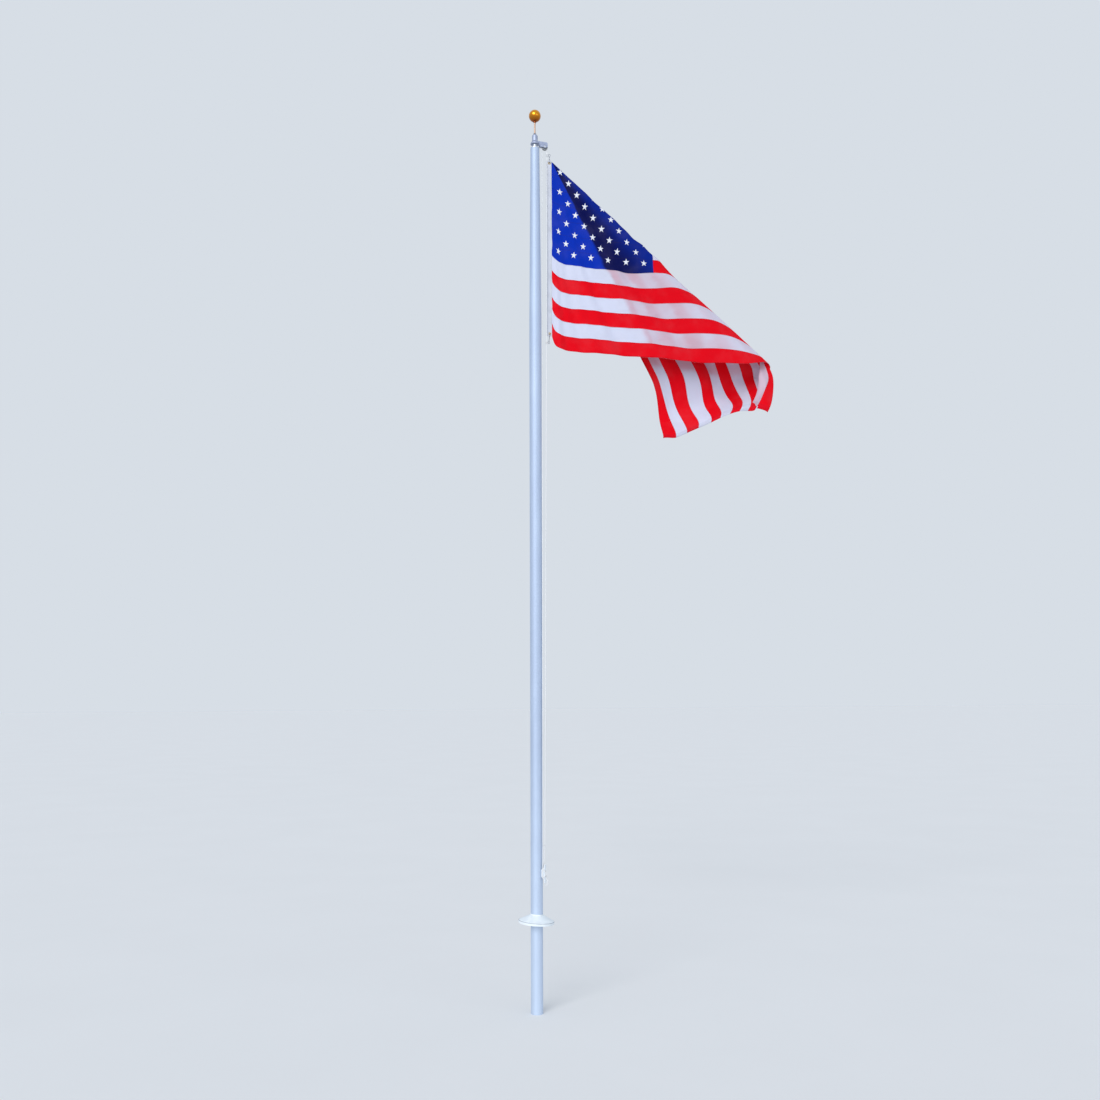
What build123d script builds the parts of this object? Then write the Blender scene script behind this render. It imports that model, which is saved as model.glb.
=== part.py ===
from build123d import *
from math import atan2, cos, degrees, exp, hypot, pi, radians, sin, tan
import os

# A tapered aluminium flagpole with an external halyard, from ground level up.
# Frame: origin at the centre of the shaft's end face at ground level, +Z up the pole,
# +X along the truck's arm and the flag. Sizes in mm.

# Shaft: a drawn tube, straight below and tapered above
pole_height = 7300.0
butt_diameter = 101.6
top_diameter = 76.2
shaft_wall = 3.2
shaft_end_disc = 5.0
taper_length = 1480.0

# Spindle plug pressed into the top of the shaft, which the truck turns on
plug_depth = 90.0
plug_flange_thickness = 4.0
plug_fit = 0.05
neck_diameter = 40.0
neck_gap = 36.0
spindle_diameter = 19.0
spindle_length = 52.0
spindle_clearance = 0.3
seat_clearance = 0.3

# Revolving truck: one casting with a bonnet, a dome and a forked arm for the sheave
rim_diameter = 75.0
rim_thickness = 9.0
shoulder_diameter = 57.0
shoulder_height = 20.0
dome_diameter = 49.0
dome_height = 85.0
dome_round = 16.0
dome_round_inset = 4.6
dome_round_drop = 5.0
arm_reach = 111.0
arm_width = 30.0
arm_above_rim = 30.0
arm_below_rim = 17.0
arm_slope = 4.0
arm_nose_round = 12.0
arm_root_inset = 2.0
arm_root_run = 10.0
fork_slot = 15.0
fork_roof = 8.0
fork_back_gap = 4.0
sheave_height = -12.0
axle_boss_diameter = 25.0

# Sheave and its axle
sheave_reach = 86.0
sheave_diameter = 54.0
sheave_width = 12.0
sheave_rim_cover = 4.1
sheave_rim_overrun = 1.0
sheave_rim_flare = 0.6
sheave_bore = 12.0
axle_diameter = 11.4
axle_head_diameter = 17.0
axle_head_thickness = 3.0
axle_head_round = 1.2
axle_fit = 0.05
sheave_lightening_holes = 6
sheave_hole_diameter = 5.0

# Halyard: braided rope, in one loop over the sheave and down to the cleat
rope_diameter = 8.0
rope_clearance = 0.4
lines_end_height = 1380.0
hoist_line_end_radius = 75.0
hoist_line_end_angle = -39.5
return_line_end_radius = 66.0
return_line_end_angle = -55.0

# Finial: a spun ball on a threaded rod with a locknut
rod_diameter = 12.7
rod_length = 113.0
rod_chamfer = 1.0
ball_diameter = 101.6
ball_wall = 1.6
ball_collar_diameter = 24.0
ball_collar_height = 7.0
ball_collar_round = 1.5
locknut_width = 22.0
locknut_height = 9.0

# Cleat, cast, with two screws
cleat_height = 1155.0
cleat_angle = -50.0
cleat_length = 152.0
cleat_base_length = 64.0
cleat_width = 17.0
cleat_standoff = 34.5
cleat_horn_thickness = 13.0
cleat_tip_thickness = 8.0
cleat_tip_rise = 5.0
cleat_tip_slope = 2.0
cleat_bend_share = 0.6
cleat_neck_inset = 8.0
cleat_neck_round = 4.0
cleat_foot_thickness = 5.0
cleat_foot_edge = 2.0
cleat_seat_depth = 4.0
cleat_screw_spacing = 38.0
cleat_screw_diameter = 9.0
cleat_screw_head = 2.2
cleat_screw_round = 1.4
hitch_turns = 2
hitch_straight = 54.2
hitch_first_turn = 5.3
hitch_pole_gap = 0.3
# The hitch's crossing over the cleat's face, under both horns: way out from the shaft's face,
# to the side, and up from the cleat's middle
hitch_crossing = (
    (21.4, -4.0, 49.0),
    (21.4, 8.5, 49.0),
    (22.5, 12.5, 44.0),
    (24.8, 13.2, 33.0),
    (34.0, 12.9, 24.0),
    (37.7, 11.6, 19.0),
    (38.9, 8.0, 13.0),
    (39.1, 0.0, 0.0),
    (38.9, -8.0, -13.0),
    (37.7, -11.6, -19.0),
    (34.0, -12.9, -24.0),
    (24.8, -13.2, -33.0),
    (22.5, -12.5, -44.0),
    (21.4, -8.5, -49.0),
    (21.4, 8.5, -49.0),
    (22.5, 12.5, -44.0),
    (24.8, 13.2, -33.0),
    (34.0, 12.9, -24.0),
    (40.5, 12.2, -18.0),
    (45.5, 7.5, -12.0),
    (47.7, 0.0, 0.0),
    (45.5, -7.5, 12.0),
    (40.5, -12.2, 18.0),
    (34.0, -12.9, 24.0),
    (24.8, -13.2, 33.0),
    (22.5, -12.5, 44.0),
    (21.6, -10.0, 47.8),
)
lead_foot_out = 13.0
lead_foot_side = 7.0
lead_foot_rise = 46.5

# Loose tail of the halyard, from the hitch's foot: way out, to the side, and down from the
# cleat's middle
tail_points = (
    (31.2, 13.1, 33.5),
    (40.0, 14.2, 44.0),
    (50.0, 18.0, 67.0),
    (44.0, 16.0, 84.0),
    (31.0, 12.0, 100.0),
)
tail_bend_share = 0.45

# Flash collar: a spun cover that belongs at the foot, pushed up the shaft and held askew
collar_height = 762.0
collar_diameter = 298.0
collar_lip = 20.0
collar_rise = 45.0
collar_neck = 12.0
collar_sheet = 2.0
collar_bore_clearance = 0.9
collar_tilt = 4.0
collar_tilt_axis = 75.0
collar_round = 6.0
collar_neck_flare = 6.0
collar_neck_bend = 3.0

# Flag: hoist and fly, header strip and grommets
hoist_length = 1524.0
header_width = 48.0
header_start = 102.0
header_thickness = 3.0
header_below_rim = 122.0
header_face = 5.5
grommet_inset = 20.0
grommet_outer = 22.0
grommet_inner = 11.0
grommet_rise = 1.4
grommet_offset = 29.0
grommet_round = 0.6
grommet_cover = 1.0

# Cloth: a sheet folded back along its diagonal, which hangs from the hoist's top corner.
# Angles are degrees below level, seen square to the flag, or degrees round a roll of cloth.
fly_length = 2438.0
cloth_thickness = 2.4
cloth_gap = 0.3
fold_angle = 32.5
fold_angle_middle = 31.6
fold_angle_end = 37.0
fold_turn_before_hem = 198.0
fold_turn_past_hem = 162.0
fold_blend = 15.0
fold_slope = 37.3
fold_slope_end = 35.9
fold_slope_turn = (600.0, 2000.0)
roll_start = 1150.0
roll_full = 1550.0
front_roll = 1.3
front_roll_full = 6.6
back_roll = 1.3
back_roll_full = 8.0
back_roll_hem = 18.7
roll_flatness = 0.5
fold_gap = 4.0
back_stand_off = 45.0
back_gather = 0.245
back_stand_off_length = 800.0
shear_share = 0.08
sag_share = 0.105
sag_fall = 0.15
edge_pull = 100.0
stretch_share = 0.045
stretch_end = 2500.0
cloth_swell = 12.0
droop_length = 488.0
hem_slope = 45.5
hem_fold_angle = 30.0
hem_depth = 200.0
hem_swing = 220.0
hem_swing_angles = (6.0, 24.0)
hem_pleat = 120.0
hem_pleat_angles = (24.0, 32.0)
station_slope = 36.3
hoist_stations = (16.0, 300.0, 600.0, 902.0, 1300.0)
hem_stations = (-738.0, -388.0, -198.0, 2.0, 162.0, 282.0, 362.0)
front_points = 6
front_spacing = 2.0
back_points = 8
back_spacing = 1.5
solve_steps = 24

# Snaps between the halyard and the grommets
upper_hitch_rise = 44.0
lower_hitch_drop = 64.0
hitch_length = 30.0
hitch_diameter = 20.0
hitch_round = 5.0
swivel_wire = 4.0
swivel_radius = 9.0
swivel_barrel = 7.0
snap_wire = 5.0
snap_width = 17.0
snap_loop = 27.0
snap_mouth = 6.0
gate_wire = 3.0
gate_foot = 10.0
hook_seat = 0.7

pole_radius = butt_diameter / 2
rope_radius = rope_diameter / 2
rim_plane = pole_height + neck_gap
sheave_axis = rim_plane + sheave_height
groove_floor = sheave_diameter / 2 - rope_radius - rope_clearance - sheave_rim_cover
pitch_radius = groove_floor + rope_radius + rope_clearance
hoist_line_x = sheave_reach + pitch_radius
return_line_x = sheave_reach - pitch_radius


def polar(radius, angle, height):
    return Vector(radius * cos(radians(angle)), radius * sin(radians(angle)), height)


def bar(path_line, section_diameter):
    # A round bar swept along a path, with its section square to the path's start
    with BuildSketch(Plane(path_line @ 0, z_dir=path_line % 0)) as section:
        Circle(section_diameter / 2)
    sweep(sections=section.sketch, path=path_line)


os.makedirs("parts", exist_ok=True)


# Shaft: a tube, parallel up to the taper, with a disc that closes its section at ground level
with BuildPart() as pole_shaft:
    with BuildSketch(Plane.XZ):
        with BuildLine():
            Polyline(
                (0, 0),
                (butt_diameter / 2, 0),
                (butt_diameter / 2, pole_height - taper_length),
                (top_diameter / 2, pole_height),
                (top_diameter / 2 - shaft_wall, pole_height),
                (butt_diameter / 2 - shaft_wall, pole_height - taper_length),
                (butt_diameter / 2 - shaft_wall, shaft_end_disc),
                (0, shaft_end_disc),
                close=True,
            )
        make_face()
    revolve(axis=Axis.Z)

# Spindle plug: the flange closes the tube, and the neck shows below the truck
plug_top_radius = top_diameter / 2 - shaft_wall - plug_fit
with BuildPart() as spindle_plug:
    with BuildSketch(Plane.XZ):
        with BuildLine():
            Polyline(
                (0, pole_height - plug_depth),
                (plug_top_radius, pole_height - plug_depth),
                (plug_top_radius, pole_height),
                (top_diameter / 2, pole_height),
                (top_diameter / 2, pole_height + plug_flange_thickness),
                (neck_diameter / 2, pole_height + plug_flange_thickness),
                (neck_diameter / 2, rim_plane - seat_clearance),
                (spindle_diameter / 2, rim_plane - seat_clearance),
                (spindle_diameter / 2, rim_plane + spindle_length),
                (0, rim_plane + spindle_length),
                close=True,
            )
        make_face()
    revolve(axis=Axis.Z)

# Truck casting
arm_top = rim_plane + arm_above_rim
arm_bottom = rim_plane - arm_below_rim
slot_roof = arm_top - arm_slope - fork_roof
slot_inner = sheave_reach - sheave_diameter / 2 - fork_back_gap
with BuildPart() as truck_body:
    with BuildSketch(Plane.XZ):
        with BuildLine():
            skirt = Polyline(
                (0, rim_plane),
                (rim_diameter / 2, rim_plane),
                (rim_diameter / 2, rim_plane + rim_thickness),
                (shoulder_diameter / 2, rim_plane + shoulder_height),
                (dome_diameter / 2, rim_plane + shoulder_height + dome_round / 2),
                (dome_diameter / 2, rim_plane + dome_height - dome_round),
            )
            crown = ThreePointArc(
                skirt @ 1,
                (dome_diameter / 2 - dome_round_inset, rim_plane + dome_height - dome_round_drop),
                (rod_diameter, rim_plane + dome_height),
            )
            Polyline(crown @ 1, (0, rim_plane + dome_height), skirt @ 0)
        make_face()
    revolve(axis=Axis.Z)
    with BuildSketch(Plane.XZ):
        with BuildLine():
            Polyline(
                (0, arm_bottom + arm_below_rim),
                (rim_diameter / 2 - arm_root_inset, arm_bottom + arm_below_rim),
                (rim_diameter / 2 + arm_root_run, arm_bottom),
                (arm_reach, arm_bottom),
                (arm_reach, arm_top - arm_slope),
                (0, arm_top),
                close=True,
            )
        arm_face = make_face()
        fillet(arm_face.vertices().group_by(Axis.X)[-1], radius=arm_nose_round)
        with Locations((sheave_reach, sheave_axis)):
            Circle(axle_boss_diameter / 2)
    extrude(amount=arm_width / 2, both=True)
    with BuildSketch(Plane.XZ):
        with Locations((slot_inner + arm_reach / 2, (slot_roof + arm_bottom - arm_reach) / 2)):
            Rectangle(arm_reach, slot_roof - arm_bottom + arm_reach)
    extrude(amount=fork_slot / 2, both=True, mode=Mode.SUBTRACT)
    with BuildSketch(Plane.XY.offset(rim_plane)):
        Circle(spindle_diameter / 2 + spindle_clearance)
    extrude(amount=spindle_length + seat_clearance, mode=Mode.SUBTRACT)

# Sheave: a grooved wheel with lightening holes, turning on the axle
axle_plane = Plane(origin=(sheave_reach, 0, sheave_axis), x_dir=(1, 0, 0), z_dir=(0, -1, 0))
groove_radius = rope_radius + rope_clearance
with BuildPart() as sheave:
    with BuildSketch(axle_plane):
        Circle(sheave_diameter / 2)
        Circle(sheave_bore / 2, mode=Mode.SUBTRACT)
        with PolarLocations((groove_floor + sheave_bore / 2) / 2, sheave_lightening_holes):
            Circle(sheave_hole_diameter / 2, mode=Mode.SUBTRACT)
    extrude(amount=sheave_width / 2, both=True)
    with BuildSketch(Plane(origin=(sheave_reach, 0, sheave_axis), x_dir=(1, 0, 0), z_dir=(0, 0, 1))):
        with BuildLine():
            Polyline(
                (pitch_radius, groove_radius),
                (sheave_diameter / 2 + sheave_rim_overrun, groove_radius + sheave_rim_flare),
                (sheave_diameter / 2 + sheave_rim_overrun, -groove_radius - sheave_rim_flare),
                (pitch_radius, -groove_radius),
            )
            ThreePointArc(
                (pitch_radius, groove_radius),
                (groove_floor, 0),
                (pitch_radius, -groove_radius),
            )
        make_face()
    revolve(axis=Axis((sheave_reach, 0, sheave_axis), (0, 1, 0)), mode=Mode.SUBTRACT)

# Sheave axle: a headed pin across the fork, with a washer on its other end
with BuildPart() as sheave_axle:
    with BuildSketch(axle_plane):
        Circle(axle_diameter / 2)
    extrude(amount=arm_width / 2, both=True)
    with BuildSketch(axle_plane.offset(arm_width / 2)):
        Circle(axle_head_diameter / 2)
    extrude(amount=axle_head_thickness)
    fillet(sheave_axle.edges().group_by(Axis.Y)[0], radius=axle_head_round)
    with BuildSketch(axle_plane.offset(-arm_width / 2 - axle_head_thickness)):
        Circle(axle_head_diameter / 2)
    extrude(amount=axle_head_thickness)

# The truck's cheeks are bored for the axle
with BuildPart() as axle_hole:
    with BuildSketch(axle_plane):
        Circle(axle_diameter / 2 + axle_fit)
    extrude(amount=arm_width, both=True)
truck_body.part = truck_body.part - axle_hole.part

# Finial rod, threaded into the dome, with its locknut and ball
dome_top = rim_plane + dome_height
ball_centre = dome_top + rod_length + ball_diameter / 2
with BuildPart() as finial_rod:
    with BuildSketch(Plane.XY.offset(dome_top)):
        Circle(rod_diameter / 2)
    extrude(amount=rod_length - ball_collar_height)
    chamfer(finial_rod.edges().group_by(Axis.Z)[0], length=rod_chamfer)

with BuildPart() as finial_locknut:
    with BuildSketch(Plane.XY.offset(dome_top + seat_clearance)):
        RegularPolygon(locknut_width / 2, 6, major_radius=False)
        Circle(rod_diameter / 2 + plug_fit, mode=Mode.SUBTRACT)
    extrude(amount=locknut_height)

with BuildPart() as finial_ball:
    with BuildSketch(Plane.XZ):
        with BuildLine():
            outline = CenterArc((0, ball_centre), ball_diameter / 2, -90, 180)
            Line(outline @ 1, outline @ 0)
        make_face()
    revolve(axis=Axis.Z)
    with BuildSketch(Plane.XY.offset(ball_centre - ball_diameter / 2 - ball_collar_height)):
        Circle(ball_collar_diameter / 2)
    extrude(amount=ball_collar_height + ball_wall)
    fillet(finial_ball.edges().group_by(Axis.Z)[0], radius=ball_collar_round)

# Halyard over the sheave: half a turn in the groove, down to just below the fork
hoist_top = Vector(hoist_line_x, 0, sheave_axis)
hoist_end = polar(hoist_line_end_radius, hoist_line_end_angle, lines_end_height)
return_top = Vector(return_line_x, 0, sheave_axis)
return_end = polar(return_line_end_radius, return_line_end_angle, lines_end_height)
with BuildPart() as halyard_over_sheave:
    with BuildLine() as over_sheave:
        CenterArc((sheave_reach, sheave_axis), pitch_radius, 0, 180)
    over_path = Plane.XZ * over_sheave.line
    bar(over_path, rope_diameter)

with BuildPart() as halyard_hoist_line:
    with BuildLine() as hoist_path:
        Line(hoist_top - Vector(0, 0, seat_clearance), hoist_end)
    bar(hoist_path.line, rope_diameter)

with BuildPart() as halyard_return_line:
    with BuildLine() as return_path:
        Line(return_top - Vector(0, 0, seat_clearance), return_end)
    bar(return_path.line, rope_diameter)

# Cleat: a cast base on the shaft, a neck and two horns, in the plane through the pole's axis
cleat_out = Vector(cos(radians(cleat_angle)), sin(radians(cleat_angle)), 0)
cleat_plane = Plane(
    origin=(0, 0, cleat_height),
    x_dir=cleat_out,
    z_dir=cleat_out.rotate(Axis.Z, -90),
)
bar_inner = pole_radius + cleat_standoff - cleat_horn_thickness
bar_outer = pole_radius + cleat_standoff
cleat_half = cleat_length / 2
cleat_tip = bar_outer + cleat_tip_rise
cleat_tip_inner = cleat_tip - cleat_tip_thickness
neck_half = cleat_base_length / 2 - cleat_neck_inset
with BuildPart() as cleat:
    with BuildSketch(cleat_plane):
        with BuildLine():
            Polyline(
                (bar_outer, -cleat_half / 3),
                (bar_outer, cleat_half / 3),
            )
            for end in (1, -1):
                Bezier(
                    (bar_outer, end * cleat_half / 3),
                    (bar_outer, end * cleat_half * cleat_bend_share),
                    (cleat_tip, end * cleat_half),
                )
                Polyline(
                    (cleat_tip, end * cleat_half),
                    (cleat_tip_inner, end * (cleat_half - cleat_tip_slope)),
                    (bar_inner, end * (neck_half + cleat_neck_round)),
                    (bar_inner - cleat_neck_round, end * neck_half),
                    (pole_radius + cleat_foot_thickness, end * neck_half),
                    (pole_radius + cleat_foot_edge, end * cleat_base_length / 2),
                    (pole_radius - cleat_seat_depth, end * cleat_base_length / 2),
                )
            Line(
                (pole_radius - cleat_seat_depth, -cleat_base_length / 2),
                (pole_radius - cleat_seat_depth, cleat_base_length / 2),
            )
        make_face()
    extrude(amount=cleat_width / 2, both=True)
    with BuildSketch(Plane.XY.offset(cleat_height - cleat_length)):
        Circle(pole_radius)
    extrude(amount=2 * cleat_length, mode=Mode.SUBTRACT)

# Cleat screws: pan heads on the cleat's face, over shanks that hold it to the shaft
for end, sign in (("upper", 1), ("lower", -1)):
    screw_plane = Plane(
        origin=cleat_out * bar_outer + Vector(0, 0, cleat_height + sign * cleat_screw_spacing / 2),
        z_dir=cleat_out,
    )
    with BuildPart() as cleat_screw:
        with BuildSketch(screw_plane):
            Circle(cleat_screw_diameter / 2)
        extrude(amount=cleat_screw_head)
        head_edges = cleat_screw.edges().filter_by(GeomType.CIRCLE)
        fillet(head_edges.sort_by(Axis(screw_plane.origin, cleat_out))[-1], radius=cleat_screw_round)
    cleat_screw.part.label = f"cleat_screw_{end}"
    export_step(cleat_screw.part, f"parts/cleat_screw_{end}.step")

# Hitch: turns of the halyard round the cleat's neck, and a crossing over its face
side_step = cleat_out.rotate(Axis.Z, 90)


def at_cleat(out, side, rise):
    # A place beside the cleat, from the shaft's face and the cleat's middle
    return cleat_out * (pole_radius + out) + side_step * side + Vector(0, 0, cleat_height + rise)


hitch_side = cleat_width / 2 + rope_radius + rope_clearance
hitch_plane = Plane(
    origin=cleat_out * (pole_radius + hitch_first_turn) + Vector(0, 0, cleat_height),
    x_dir=(0, 0, 1),
    z_dir=cleat_out,
)
with BuildPart() as halyard_cleat_hitch:
    for turn in range(hitch_turns):
        with BuildSketch(hitch_plane.offset(turn * rope_diameter)):
            SlotCenterToCenter(hitch_straight, 2 * hitch_side + rope_diameter)
            SlotCenterToCenter(hitch_straight, 2 * hitch_side - rope_diameter, mode=Mode.SUBTRACT)
        extrude(amount=rope_diameter)
    with BuildSketch(Plane.XY.offset(cleat_height - cleat_length)):
        Circle(pole_radius + hitch_pole_gap)
    extrude(amount=2 * cleat_length, mode=Mode.SUBTRACT)
    with BuildLine() as crossing_path:
        Spline(*[at_cleat(*point) for point in hitch_crossing])
    bar(crossing_path.line, rope_diameter)

# Leads: the two lines' last stretch down to the hitch, on the pole
for name, start, side in (("hoist", hoist_end, 1), ("return", return_end, -1)):
    with BuildPart() as halyard_lead:
        with BuildLine() as lead_path:
            Line(
                start - Vector(0, 0, seat_clearance),
                at_cleat(lead_foot_out, side * lead_foot_side, lead_foot_rise),
            )
        bar(lead_path.line, rope_diameter)
    halyard_lead.part.label = f"halyard_{name}_lead"
    export_step(halyard_lead.part, f"parts/halyard_{name}_lead.step")

# Loose tail: it leaves the hitch's foot, stands off the cleat and curls back, cut bare
tail_route = [at_cleat(out, side, -drop) for out, side, drop in tail_points]


def bend_radius(before, corner, after):
    # The arc takes the same share of the shorter run on each side of the corner
    turn = radians((corner - before).get_angle(after - corner))
    shorter = min((corner - before).length, (after - corner).length)
    return tail_bend_share * shorter / tan(turn / 2)


tail_radii = [bend_radius(*tail_route[i:i + 3]) for i in range(len(tail_route) - 2)]
with BuildPart() as halyard_tail:
    with BuildLine() as tail_path:
        FilletPolyline(*tail_route, radius=tail_radii)
    bar(tail_path.line, rope_diameter)

# Flash collar: spun sheet, a cone with a straight lip and a short neck
collar_bore = pole_radius + collar_bore_clearance
collar_radius = collar_diameter / 2
collar_cone_top = collar_lip + collar_rise
neck_outer = collar_bore + collar_sheet
neck_flare = collar_bore + 2 * collar_sheet + collar_neck_flare
with BuildPart() as flash_collar:
    with BuildSketch(Plane.XZ):
        with BuildLine():
            Polyline(
                (collar_radius, 0),
                (collar_radius, collar_lip),
                (collar_radius - collar_round, collar_lip + collar_round / 2),
                (neck_flare, collar_cone_top),
                (neck_outer, collar_cone_top + collar_neck_bend),
                (neck_outer, collar_cone_top + collar_neck),
                (collar_bore, collar_cone_top + collar_neck),
                (collar_bore, collar_cone_top + collar_neck_bend - collar_sheet),
                (neck_flare, collar_cone_top - collar_sheet),
                (collar_radius - collar_round, collar_lip + collar_round / 2 - collar_sheet),
                (collar_radius - collar_sheet, collar_lip - collar_sheet / 2),
                (collar_radius - collar_sheet, 0),
                close=True,
            )
        make_face()
    revolve(axis=Axis.Z)
tilt_pivot = Vector(0, 0, collar_cone_top + collar_neck / 2)
tilt_line = Axis((0, 0, 0), (cos(radians(collar_tilt_axis)), sin(radians(collar_tilt_axis)), 0))
tilted = flash_collar.part.moved(Location(-tilt_pivot)).rotate(tilt_line, collar_tilt)
flash_collar.part = Pos(Vector(0, 0, collar_height - collar_lip)) * (Pos(tilt_pivot) * tilted)

# Header: a folded canvas strip down the hoist, with a brass grommet at each end
header_top = rim_plane - header_below_rim
header_bottom = header_top - hoist_length
header_middle = header_face + header_thickness / 2
grommet_x = header_start + grommet_offset
with BuildPart() as flag_header:
    with BuildSketch(Plane.XZ.offset(-header_face)):
        with Locations((header_start + header_width / 2, header_top - hoist_length / 2)):
            Rectangle(header_width, hoist_length)
        with Locations(
            (grommet_x, header_top - grommet_inset),
            (grommet_x, header_bottom + grommet_inset),
        ):
            Circle(grommet_inner / 2 + grommet_rise, mode=Mode.SUBTRACT)
    extrude(amount=-header_thickness)

for end, height in (("upper", header_top - grommet_inset), ("lower", header_bottom + grommet_inset)):
    grommet_plane = Plane(origin=(grommet_x, header_middle, height), x_dir=(1, 0, 0), z_dir=(0, -1, 0))
    with BuildPart() as grommet:
        with BuildSketch(grommet_plane):
            Circle(grommet_outer / 2)
            Circle(grommet_inner / 2, mode=Mode.SUBTRACT)
        extrude(amount=header_thickness / 2 + grommet_rise, both=True)
        fillet(grommet.edges().filter_by(GeomType.CIRCLE), radius=grommet_round)
        with BuildSketch(grommet_plane):
            Circle(grommet_outer / 2 + grommet_cover)
            Circle(grommet_inner / 2 + grommet_rise, mode=Mode.SUBTRACT)
        extrude(amount=header_thickness / 2, both=True, mode=Mode.SUBTRACT)
    grommet.part.label = f"{end}_grommet"
    export_step(grommet.part, f"parts/{end}_grommet.step")

# Snaps: a hitch on the hoist line, a swivel eye in it, and a hook through the grommet
hoist_direction = (hoist_end - hoist_top).normalized()


def on_hoist_line(height):
    return hoist_top + hoist_direction * ((height - hoist_top.Z) / hoist_direction.Z)


for end, hitch_height, grommet_height in (
    ("upper", header_top + upper_hitch_rise, header_top - grommet_inset),
    ("lower", header_bottom - lower_hitch_drop, header_bottom + grommet_inset),
):
    knot_centre = on_hoist_line(hitch_height)
    knot_plane = Plane(origin=knot_centre, z_dir=hoist_direction)
    with BuildPart() as hitch:
        with BuildSketch(knot_plane.offset(-hitch_length / 2)):
            Circle(hitch_diameter / 2)
            Circle(rope_radius + rope_clearance, mode=Mode.SUBTRACT)
        extrude(amount=hitch_length)
        fillet(hitch.edges().filter_by(GeomType.CIRCLE).group_by(SortBy.RADIUS)[-1], radius=hitch_round)
    hitch.part.label = f"{end}_hitch"
    export_step(hitch.part, f"parts/{end}_hitch.step")
    eye_centre = Vector(
        knot_centre.X + hitch_diameter / 2 + swivel_radius + swivel_wire / 2 + seat_clearance,
        knot_centre.Y,
        hitch_height,
    )
    hook_far = Vector(grommet_x, header_middle, grommet_height)
    span = hook_far - eye_centre
    hook_dir = span.normalized()
    hook_side = hook_dir.cross(Vector(0, 1, 0))
    with BuildPart() as swivel:
        eye_side = eye_centre + hook_dir * swivel_radius
        with BuildSketch(Plane(origin=eye_side, x_dir=hook_dir, z_dir=hook_side)):
            Circle(swivel_wire / 2)
        revolve(axis=Axis(eye_centre, hook_dir.cross(hook_side)))
        with BuildSketch(Plane(origin=eye_side, z_dir=hook_dir)):
            Circle(swivel_wire)
        extrude(amount=swivel_barrel)
    swivel.part.label = f"{end}_swivel"
    export_step(swivel.part, f"parts/{end}_swivel.step")
    hook_start = eye_side + hook_dir * (swivel_barrel + seat_clearance)
    hook_reach = (hook_far - hook_start).length - (grommet_inner - snap_wire) / 2 + hook_seat
    hook_plane = Plane(origin=hook_start, x_dir=hook_dir, z_dir=hook_side)
    loop_start = hook_reach - snap_loop
    with BuildPart() as snap_hook:
        with BuildLine(hook_plane) as hook_path:
            FilletPolyline(
                (0, 0),
                (loop_start - snap_mouth, 0),
                (loop_start, -snap_width / 2),
                (hook_reach, -snap_width / 2),
                (hook_reach, snap_width / 2),
                (loop_start + snap_mouth, snap_width / 2),
                radius=[snap_wire, snap_wire, snap_wire, snap_wire],
            )
        bar(hook_path.line, snap_wire)
    snap_hook.part.label = f"{end}_snap_hook"
    export_step(snap_hook.part, f"parts/{end}_snap_hook.step")
    with BuildPart() as snap_gate:
        with BuildLine(hook_plane) as gate_path:
            Line(
                (loop_start - gate_foot - snap_mouth, (snap_wire + gate_wire) / 2 + seat_clearance),
                (loop_start + snap_mouth - gate_wire / 2, snap_width / 2),
            )
        bar(gate_path.line, gate_wire)
    snap_gate.part.label = f"{end}_snap_gate"
    export_step(snap_gate.part, f"parts/{end}_snap_gate.step")

# Cloth: a thin folded sheet, lofted between sections square to the fold
apex = Vector(header_start + header_width + cloth_gap, header_face + cloth_thickness, header_top)


def eased(low, high, value):
    share = min(max((value - low) / (high - low), 0.0), 1.0)
    return share * share * (3 - 2 * share)


def rolled(arc, roll):
    # How far round a roll of cloth goes across, for its length along the arc
    if arc < roll * pi / 2:
        return roll * (1 - cos(arc / roll))
    return arc - roll * (pi / 2 - 1)


def fold_on_cloth(distance):
    # The flat cloth's own angle that lies on the fold, at a distance from the top corner
    middle = fold_angle + (fold_angle_middle - fold_angle) * eased(roll_start, roll_full, distance)
    turned = eased(fly_length - fold_turn_before_hem, fly_length + fold_turn_past_hem, distance)
    return middle + (fold_angle_end - fold_angle_middle) * turned**2


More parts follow.
